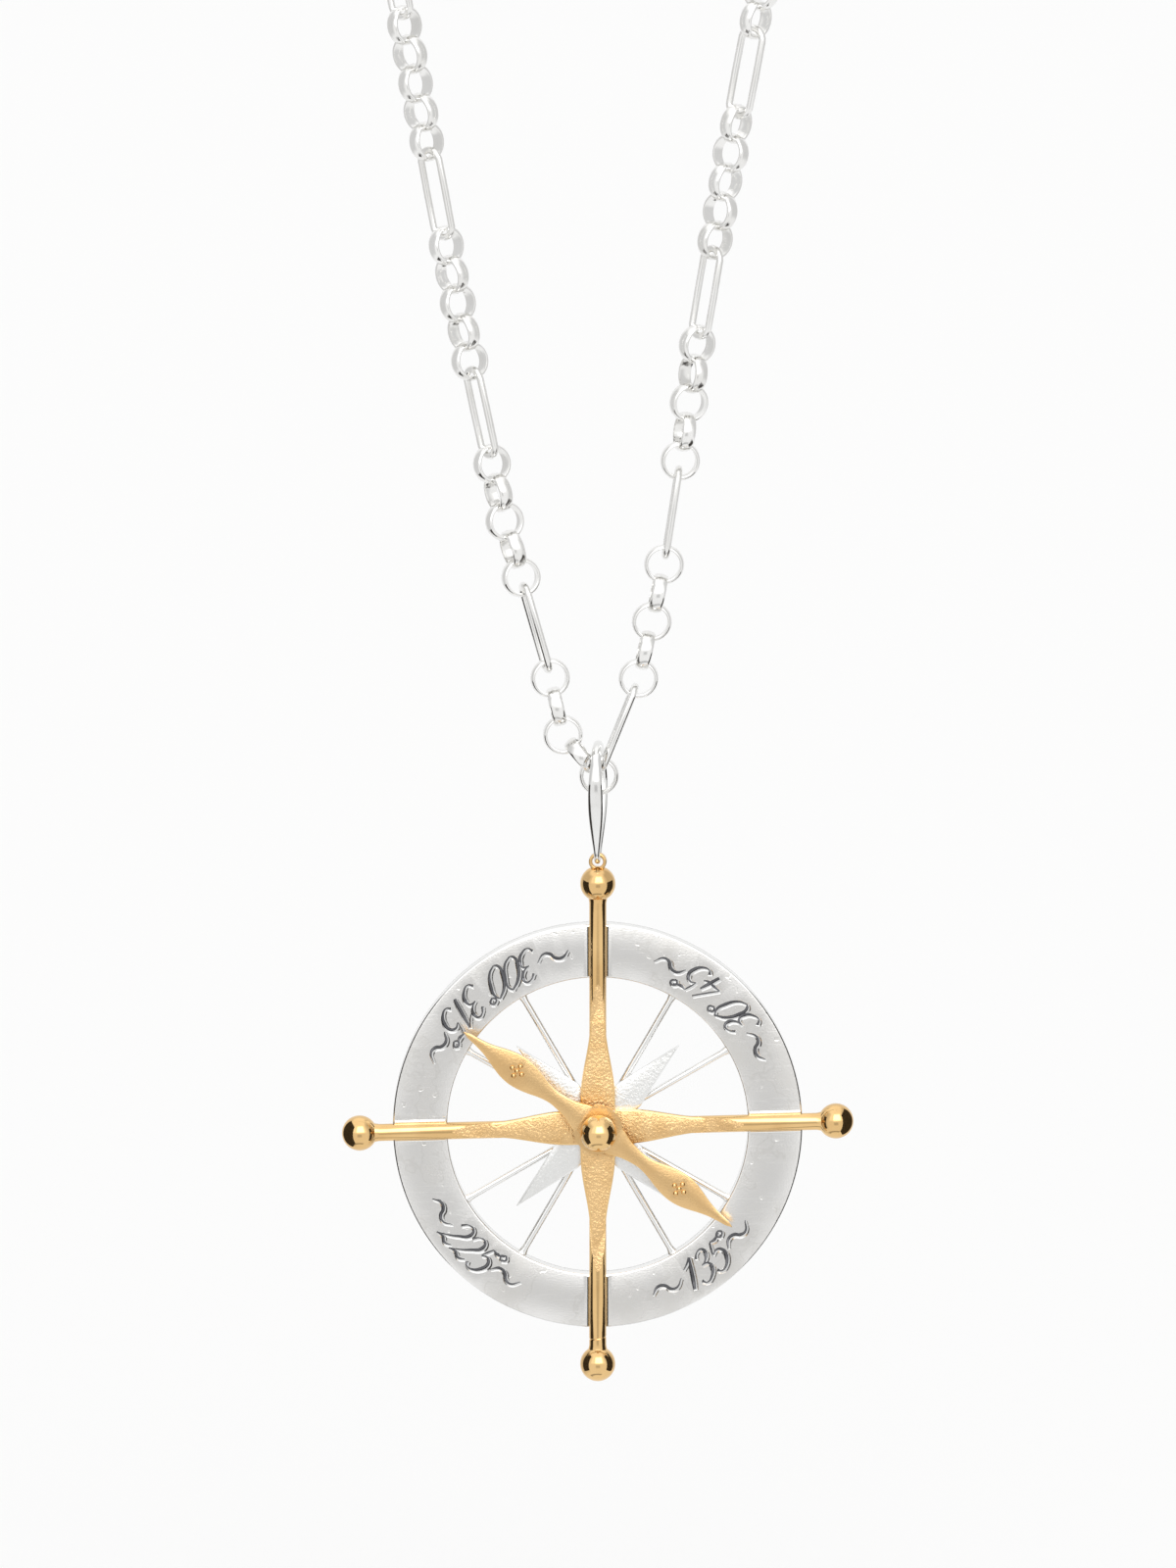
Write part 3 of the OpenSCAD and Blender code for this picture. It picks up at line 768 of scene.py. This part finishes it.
# %% The clasp and its ring
ring_matrix, ring_size = places_of("clasp_ring")[0]
jump_wire = ring_size.z
jump_ring = ring_of("jump_ring", (ring_size.x - jump_wire) / 2, jump_wire, jump_wire, 64, 20)
moved(jump_ring, ring_matrix)
report(jump_ring)
clasp = node_copy("clasp")
edit(clasp)
bpy.ops.mesh.select_all(action="SELECT")
bpy.ops.mesh.dissolve_limited(angle_limit=math.radians(2))
done()
clasp_edge = 0.16
modify(clasp, "BEVEL", width=clasp_edge, segments=3, limit_method="ANGLE", angle_limit=math.radians(50))
report(clasp)

# %% [markdown]
# Metals differ in how finely they are finished. Every finish below is a Principled shader with
# the metal's own colour, and node groups give the grain, the pits, the clouds of tarnish and the
# fine scratches that change its colour, its roughness and its bump over the surface.

# %% Node helpers
def new_group(name, inputs, outputs):
    """An empty shader node group with named sockets."""
    group = bpy.data.node_groups.new(name, "ShaderNodeTree")
    for socket, kind, value in inputs:
        made_socket = group.interface.new_socket(name=socket, in_out="INPUT", socket_type=kind)
        made_socket.default_value = value
    for socket, kind in outputs:
        group.interface.new_socket(name=socket, in_out="OUTPUT", socket_type=kind)
    return group, group.nodes.new("NodeGroupInput"), group.nodes.new("NodeGroupOutput")


def node(tree, kind, settings=None, **inputs):
    """Adds a node, sets it, and sets or links its inputs by name, or by number as i0 and i1."""
    new = tree.nodes.new(kind)
    for setting, value in (settings or {}).items():
        setattr(new, setting, value)
    for name, value in inputs.items():
        numbered = name[0] == "i" and name[1:].isdigit()
        socket = new.inputs[int(name[1:]) if numbered else name.replace("_", " ")]
        if isinstance(value, bpy.types.NodeSocket):
            tree.links.new(value, socket)
        else:
            socket.default_value = value
    return new


def math_node(tree, operation, a, b=0.0):
    """The result of one sum."""
    return node(tree, "ShaderNodeMath", {"operation": operation}, i0=a, i1=b).outputs[0]


def soft_step(tree, value, low, high, out_low=0.0, out_high=1.0):
    """Runs smoothly from one value to another between two limits."""
    return node(tree, "ShaderNodeMapRange", {"interpolation_type": "SMOOTHSTEP"}, Value=value,
                From_Min=low, From_Max=high, To_Min=out_low, To_Max=out_high).outputs[0]


def in_steps(group, source):
    """The place on a surface, counted in steps of the group's own Size in millimetres."""
    scaled = node(group, "ShaderNodeVectorMath", {"operation": "SCALE"}, i0=source.outputs["Vector"])
    group.links.new(math_node(group, "DIVIDE", 1 / mm, source.outputs["Size"]), scaled.inputs["Scale"])
    return scaled.outputs[0]


# %% Grain and pits of a blasted or satin surface
grain_group, source, sink = new_group(
    "grain",
    [("Vector", "NodeSocketVector", (0, 0, 0)), ("Size", "NodeSocketFloat", 0.1)],
    [("Height", "NodeSocketFloat"), ("Pits", "NodeSocketFloat")])
steps = in_steps(grain_group, source)
speckle = node(grain_group, "ShaderNodeTexNoise", Vector=steps, Scale=1.0, Detail=2.0, Roughness=0.6)
grain_group.links.new(speckle.outputs["Fac"], sink.inputs["Height"])
pit = node(grain_group, "ShaderNodeTexNoise", Vector=steps, Scale=0.3, Detail=0.0)
grain_group.links.new(soft_step(grain_group, pit.outputs["Fac"], 0.78, 0.84), sink.inputs["Pits"])

# %% Clouds of tarnish with a thin darker outline
cloud_group, source, sink = new_group(
    "tarnish",
    [("Vector", "NodeSocketVector", (0, 0, 0)), ("Size", "NodeSocketFloat", 3.0),
     ("Level", "NodeSocketFloat", 0.5)],
    [("Cloud", "NodeSocketFloat"), ("Outline", "NodeSocketFloat")])
steps = in_steps(cloud_group, source)
cloud = node(cloud_group, "ShaderNodeTexNoise", Vector=steps, Scale=1.0, Detail=4.0, Roughness=0.55)
distance = math_node(cloud_group, "ABSOLUTE",
                     math_node(cloud_group, "SUBTRACT", cloud.outputs["Fac"], source.outputs["Level"]))
cloud_group.links.new(cloud.outputs["Fac"], sink.inputs["Cloud"])
cloud_group.links.new(soft_step(cloud_group, distance, 0.0, 0.012, 1.0, 0.0), sink.inputs["Outline"])

# %% Fine scratches
scratch_group, source, sink = new_group(
    "scratches",
    [("Vector", "NodeSocketVector", (0, 0, 0)), ("Size", "NodeSocketFloat", 1.0)],
    [("Height", "NodeSocketFloat")])
steps = in_steps(scratch_group, source)
lines = []
for turn, seed in ((0.5, 0.0), (1.9, 7.0), (2.8, 13.0)):
    mapped = node(scratch_group, "ShaderNodeMapping", Vector=steps, Location=(seed, seed, seed),
                  Rotation=(0, turn, 0), Scale=(0.35, 1.0, 9.0))
    streak = node(scratch_group, "ShaderNodeTexNoise", Vector=mapped.outputs[0], Scale=1.0, Detail=1.0)
    lines.append(soft_step(scratch_group, streak.outputs["Fac"], 0.7, 0.74))
total = math_node(scratch_group, "MAXIMUM", math_node(scratch_group, "MAXIMUM", lines[0], lines[1]), lines[2])
scratch_group.links.new(total, sink.inputs["Height"])


# %% A metal finish
def use_group(tree, group, vector, **values):
    """Places a node group with its own values."""
    placed = node(tree, "ShaderNodeGroup", {"node_tree": group})
    tree.links.new(vector, placed.inputs["Vector"])
    for name, value in values.items():
        placed.inputs[name].default_value = value
    return placed


def metal(name, bright, dark, polish, grain_size, grain_height, stain=0.0, scratch=0.0, cloud_size=3.0,
          pits=0.0):
    """A metal finish: two colours of one metal, its roughness, grain, stains, scratches and pits."""
    material = bpy.data.materials.new(name)
    material.use_nodes = True
    tree = material.node_tree
    shader = tree.nodes["Principled BSDF"]
    shader.inputs["Metallic"].default_value = 1.0
    place = node(tree, "ShaderNodeTexCoord").outputs["Object"]
    clouds = use_group(tree, cloud_group, place, Size=cloud_size)
    grains = use_group(tree, grain_group, place, Size=grain_size)
    marks = use_group(tree, scratch_group, place, Size=1.0)
    shade = soft_step(tree, clouds.outputs["Cloud"], 0.35, 0.7, 0.0, 0.55)
    shade = math_node(tree, "ADD", shade, math_node(tree, "MULTIPLY", clouds.outputs["Outline"], stain))
    hollow = math_node(tree, "MULTIPLY", grains.outputs["Pits"], pits)
    tint = node(tree, "ShaderNodeMix", {"data_type": "RGBA", "clamp_factor": True})
    tree.links.new(math_node(tree, "ADD", shade, hollow), tint.inputs[0])
    tint.inputs[6].default_value = (*bright, 1)
    tint.inputs[7].default_value = (*dark, 1)
    tree.links.new(tint.outputs[2], shader.inputs["Base Color"])
    rough = soft_step(tree, clouds.outputs["Cloud"], 0.3, 0.75, polish[0], polish[1])
    rough = math_node(tree, "ADD", rough, math_node(tree, "MULTIPLY", marks.outputs["Height"], scratch * 0.1))
    tree.links.new(rough, shader.inputs["Roughness"])
    height = math_node(tree, "SUBTRACT", math_node(tree, "MULTIPLY", grains.outputs["Height"], grain_height),
                       math_node(tree, "MULTIPLY", marks.outputs["Height"], scratch * 0.2))
    height = math_node(tree, "SUBTRACT", height, hollow)
    bump = node(tree, "ShaderNodeBump", Height=height, Strength=1.0, Distance=0.05 * mm)
    tree.links.new(bump.outputs[0], shader.inputs["Normal"])
    return material


finishes = {
    "polished_silver": metal("polished_silver", (0.93, 0.93, 0.92), (0.7, 0.69, 0.66), (0.05, 0.12), 0.12,
                             0.02, scratch=0.1),
    "bright_silver": metal("bright_silver", (0.98, 0.98, 0.97), (0.9, 0.9, 0.88), (0.18, 0.26), 0.12, 0.03),
    "chain_silver": metal("chain_silver", (0.97, 0.965, 0.95), (0.86, 0.85, 0.82), (0.13, 0.22), 0.12, 0.03),
    "satin_silver": metal("satin_silver", (0.95, 0.94, 0.92), (0.66, 0.64, 0.6), (0.18, 0.34), 0.14, 0.16,
                          stain=0.16, scratch=0.1, cloud_size=6.0, pits=0.2),
    "frosted_silver": metal("frosted_silver", (0.94, 0.94, 0.925), (0.78, 0.78, 0.76), (0.3, 0.42), 0.2, 0.6,
                            cloud_size=1.6),
    "engraved_silver": metal("engraved_silver", (0.2, 0.2, 0.21), (0.07, 0.07, 0.08), (0.25, 0.35), 0.12,
                             0.05, cloud_size=0.8),
    "polished_gold": metal("polished_gold", (0.9, 0.61, 0.28), (0.74, 0.46, 0.19), (0.05, 0.11), 0.12, 0.02,
                           scratch=0.1),
    "frosted_gold": metal("frosted_gold", (0.9, 0.61, 0.3), (0.72, 0.45, 0.19), (0.28, 0.42), 0.18, 1.5,
                          cloud_size=1.2),
    "satin_gold": metal("satin_gold", (0.89, 0.6, 0.29), (0.72, 0.45, 0.19), (0.24, 0.34), 0.16, 0.3,
                        scratch=0.1),
}
print("finishes", sorted(finishes))

# %% [markdown]
# The engraving comes last on the ring, because the cut walls take the darker finish of the tool
# that made them. Then every piece goes to its place, takes its finish and rides on its body.

# %% Cut the engraving
def dress(piece, *names):
    """Gives a piece its finishes, the first one on every face."""
    piece.data.materials.clear()
    for name in names:
        piece.data.materials.append(finishes[name])
    return piece


wheel_finishes = ("satin_silver", "engraved_silver", "bright_silver")
dress(wheel, *wheel_finishes)
for tools, index in ((slope_tools, 2), (core_tools, 1)):
    for tool in tools:
        dress(tool, *wheel_finishes)
        for face in tool.data.polygons:
            face.material_index = index
    cut_all(wheel, tools)
report(wheel)

# %% Polished edges beside satin and frosted faces
def refinish(piece, index, test):
    """Gives a finish of the piece to the faces whose centre and normal pass the test."""
    for face in piece.data.polygons:
        if test(face, face.center, face.normal):
            face.material_index = index


def band_face(face, centre, normal):
    """Is the face a flat one of the ring's band, in front or behind?"""
    level = min(abs(centre.y - ring_front), abs(centre.y - ring_back)) < 0.02
    return level and abs(normal.y) > 0.92 and math.hypot(centre.x, centre.z) > ring_in


def arm_face(face, centre, normal):
    """Is the face a flat one of the cross's blades, or one that slants out on a rod?"""
    level = abs(abs(centre.y) - blade_t / 2) < 0.02 and abs(normal.y) > 0.99
    return level or abs(abs(normal.y) - flat_slant) < 0.0005


flat_slant = math.cos(math.atan2(rod_r - blade_t / 2, flat_end - blade_end))
refinish(wheel, 2, lambda face, *place: face.material_index == 0 and not band_face(face, *place))
dress(star, "polished_silver", "frosted_silver")
refinish(star, 1, lambda face, centre, normal: abs(normal.y) > 0.99)
dress(cross, "polished_gold", "frosted_gold")
refinish(cross, 1, arm_face)
dress(needle, "polished_gold", "satin_gold")
refinish(needle, 1, lambda face, centre, normal: abs(normal.y) > 0.99 and centre.y < needle_back + 0.02)
dress(pin, "polished_gold")
dress(bail, "polished_silver")
dress(jump_ring, "polished_silver")
dress(clasp, "polished_silver")
for whole in chains.values():
    dress(whole, "chain_silver")

# %% Set the dial's pieces in their place
to_metres = Matrix.Scale(mm, 4)
for piece in (wheel, star, cross, needle, pin):
    moved(piece, to_metres @ Matrix.Translation(dial))
    smooth(piece)
for piece in (bail, jump_ring, *chains.values()):
    smooth(moved(piece, to_metres), 60)
smooth(moved(clasp, to_metres))


def hand_over(piece, name, body, slot, *nodes):
    """Names a finished piece, ties it to its body and hides the frame's solids it stands for. The slot is not
    used.
    """
    piece.name = piece.data.name = name
    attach(piece, body)
    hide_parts(*nodes)


hand_over(wheel, "dial_wheel_dressed", "pendant", "silver", "dial_wheel")
hand_over(star, "silver_star_dressed", "pendant", "silver_matte", "silver_star")
hand_over(cross, "gold_cross_dressed", "pendant", "gold", "gold_cross")
hand_over(pin, "hub_pin_dressed", "pendant", "gold", "hub_pin")
hand_over(needle, "needle_dressed", "needle", "gold", "needle")
hand_over(bail, "bail_dressed", "bail", "silver", "bail")
hand_over(jump_ring, "clasp_ring_dressed", "chain", "silver", "clasp_ring")
hand_over(clasp, "clasp_dressed", "chain", "silver", "clasp")
for name, whole in chains.items():
    hand_over(whole, name + "_dressed", "chain", "silver", name)

# %% [markdown]
# The studio is a wide pale floor below the pendant and a world that the metal mirrors. The world
# is brightest overhead and in a panel above the camera, with a thin dark line under the camera
# and softer grey sides. Two black cards stand close beside the dial, seen in its metal alone, and
# draw the dark lines along the rods and round the balls. The chain above them stays light.

# %% The floor
floor_drop = 30 * mm
bpy.ops.mesh.primitive_circle_add(
    vertices=96, radius=10, fill_type="NGON", location=(0, 0, cad_low.z - floor_drop))
floor = made("studio_floor")
floor.visible_glossy = False
paper = bpy.data.materials.new("studio_paper")
paper.use_nodes = True
paper_shader = paper.node_tree.nodes["Principled BSDF"]
paper_shader.inputs["Base Color"].default_value = (0.5, 0.5, 0.5, 1)
paper_shader.inputs["Roughness"].default_value = 1.0
paper_shader.inputs["Specular IOR Level"].default_value = 0.0
paper_shader.inputs["Emission Color"].default_value = (1.0, 1.0, 0.995, 1)
paper_shader.inputs["Emission Strength"].default_value = 0.425
floor.data.materials.append(paper)

# %% Two black cards beside the dial
card_away, card_front, card_back, card_low, card_high = 36, -20, 16, -42, 25
card_black = bpy.data.materials.new("card_black")
card_black.use_nodes = True
card_shader = card_black.node_tree.nodes["Principled BSDF"]
card_shader.inputs["Base Color"].default_value = (0.035, 0.03, 0.025, 1)
card_shader.inputs["Roughness"].default_value = 1.0
for name, side in (("card_right", 1), ("card_left", -1)):
    bpy.ops.mesh.primitive_plane_add(size=1, rotation=(0, math.pi / 2, 0))
    card = bpy.context.object
    card.scale = ((card_high - card_low) * mm, (card_back - card_front) * mm, 1)
    card.location = (dial + Vector((side * card_away, (card_front + card_back) / 2,
                                    (card_low + card_high) / 2))) * mm
    made(name)
    card.visible_camera = card.visible_diffuse = card.visible_shadow = card.visible_transmission = False
    card.data.materials.append(card_black)

# %% The studio's world
world = bpy.data.worlds.new("studio")
bpy.context.scene.world = world
world.use_nodes = True
tree = world.node_tree
ray = node(tree, "ShaderNodeTexCoord").outputs["Generated"]
split = node(tree, "ShaderNodeSeparateXYZ", i0=ray)
azimuth = math_node(tree, "ARCTAN2", split.outputs[0], math_node(tree, "MULTIPLY", split.outputs[1], -1.0))
elevation = math_node(tree, "ARCSINE", split.outputs[2])

panel_group, source, sink = new_group(
    "studio_panel",
    [("Azimuth", "NodeSocketFloat", 0.0), ("Elevation", "NodeSocketFloat", 0.0),
     ("Middle Azimuth", "NodeSocketFloat", 0.0), ("Middle Elevation", "NodeSocketFloat", 0.0),
     ("Half Width", "NodeSocketFloat", 0.3), ("Half Height", "NodeSocketFloat", 0.3),
     ("Softness", "NodeSocketFloat", 0.1)],
    [("Mask", "NodeSocketFloat")])
sides = []
for axis, half in (("Azimuth", "Half Width"), ("Elevation", "Half Height")):
    away = math_node(panel_group, "ABSOLUTE", math_node(
        panel_group, "SUBTRACT", source.outputs[axis], source.outputs["Middle " + axis]))
    past = math_node(panel_group, "SUBTRACT", away, source.outputs[half])
    share = math_node(panel_group, "DIVIDE", past, source.outputs["Softness"])
    sides.append(soft_step(panel_group, share, -0.5, 0.5, 1.0, 0.0))
panel_group.links.new(math_node(panel_group, "MULTIPLY", *sides), sink.inputs["Mask"])

# Each panel: middle azimuth and elevation, half width and half height, softness, brightness
panels = [(0, 90, 185, 38, 16, 1.15),
          (0, -22, 60, 26, 12, 0.9),
          (0, -10, 14, 9, 8, 0.6),
          (0, 34, 46, 25, 12, 1.25),
          (6, 32, 25, 19, 12, 2.9),
          (-30, -64, 75, 5, 8, 0.4),
          (-100, 4, 38, 44, 20, 0.65),
          (100, 18, 38, 42, 20, 0.65)]
base_light = 0.9
light = None
for middle_az, middle_el, half_w, half_h, softness, brightness in panels:
    panel = node(tree, "ShaderNodeGroup", {"node_tree": panel_group}, Azimuth=azimuth, Elevation=elevation)
    for socket, value in (("Middle Azimuth", middle_az), ("Middle Elevation", middle_el),
                          ("Half Width", half_w), ("Half Height", half_h), ("Softness", softness)):
        panel.inputs[socket].default_value = math.radians(value)
    blend = node(tree, "ShaderNodeMix", {"data_type": "FLOAT"})
    tree.links.new(panel.outputs[0], blend.inputs[0])
    blend.inputs[3].default_value = brightness
    if light is None:
        blend.inputs[2].default_value = base_light
    else:
        tree.links.new(light, blend.inputs[2])
    light = blend.outputs[0]
seen = node(tree, "ShaderNodeLightPath").outputs["Is Camera Ray"]
backdrop = node(tree, "ShaderNodeMix", {"data_type": "FLOAT"})
tree.links.new(seen, backdrop.inputs[0])
tree.links.new(light, backdrop.inputs[2])
backdrop.inputs[3].default_value = 0.93
tree.links.new(backdrop.outputs[0], tree.nodes["Background"].inputs["Strength"])
tree.nodes["Background"].inputs["Color"].default_value = (1, 1, 1, 1)

# %% [markdown]
# The camera looks slightly down at the dial through a long lens, as in the photograph. Its
# target lies a little left of the dial's centre and above it, and the picture is 86 mm wide.

# %% The camera
camera_data = bpy.data.cameras.new("camera")
camera = bpy.data.objects.new("camera", camera_data)
bpy.context.scene.collection.objects.link(camera)
bpy.context.scene.camera = camera
camera_turn, camera_tilt, camera_distance = math.radians(1), math.radians(8.5), 0.9
forward = Vector((math.sin(camera_turn) * math.cos(camera_tilt),
                  math.cos(camera_turn) * math.cos(camera_tilt),
                  -math.sin(camera_tilt)))
target_from_dial = Vector((-0.72, 0, 25.47))
camera.location = (dial + target_from_dial) * mm - forward * camera_distance
camera.rotation_euler = forward.to_track_quat("-Z", "Y").to_euler()
camera_data.sensor_width = 36
camera_data.lens = 282.5
camera_data.clip_start, camera_data.clip_end = 0.05, 50
bpy.context.scene.view_settings.view_transform = "Standard"
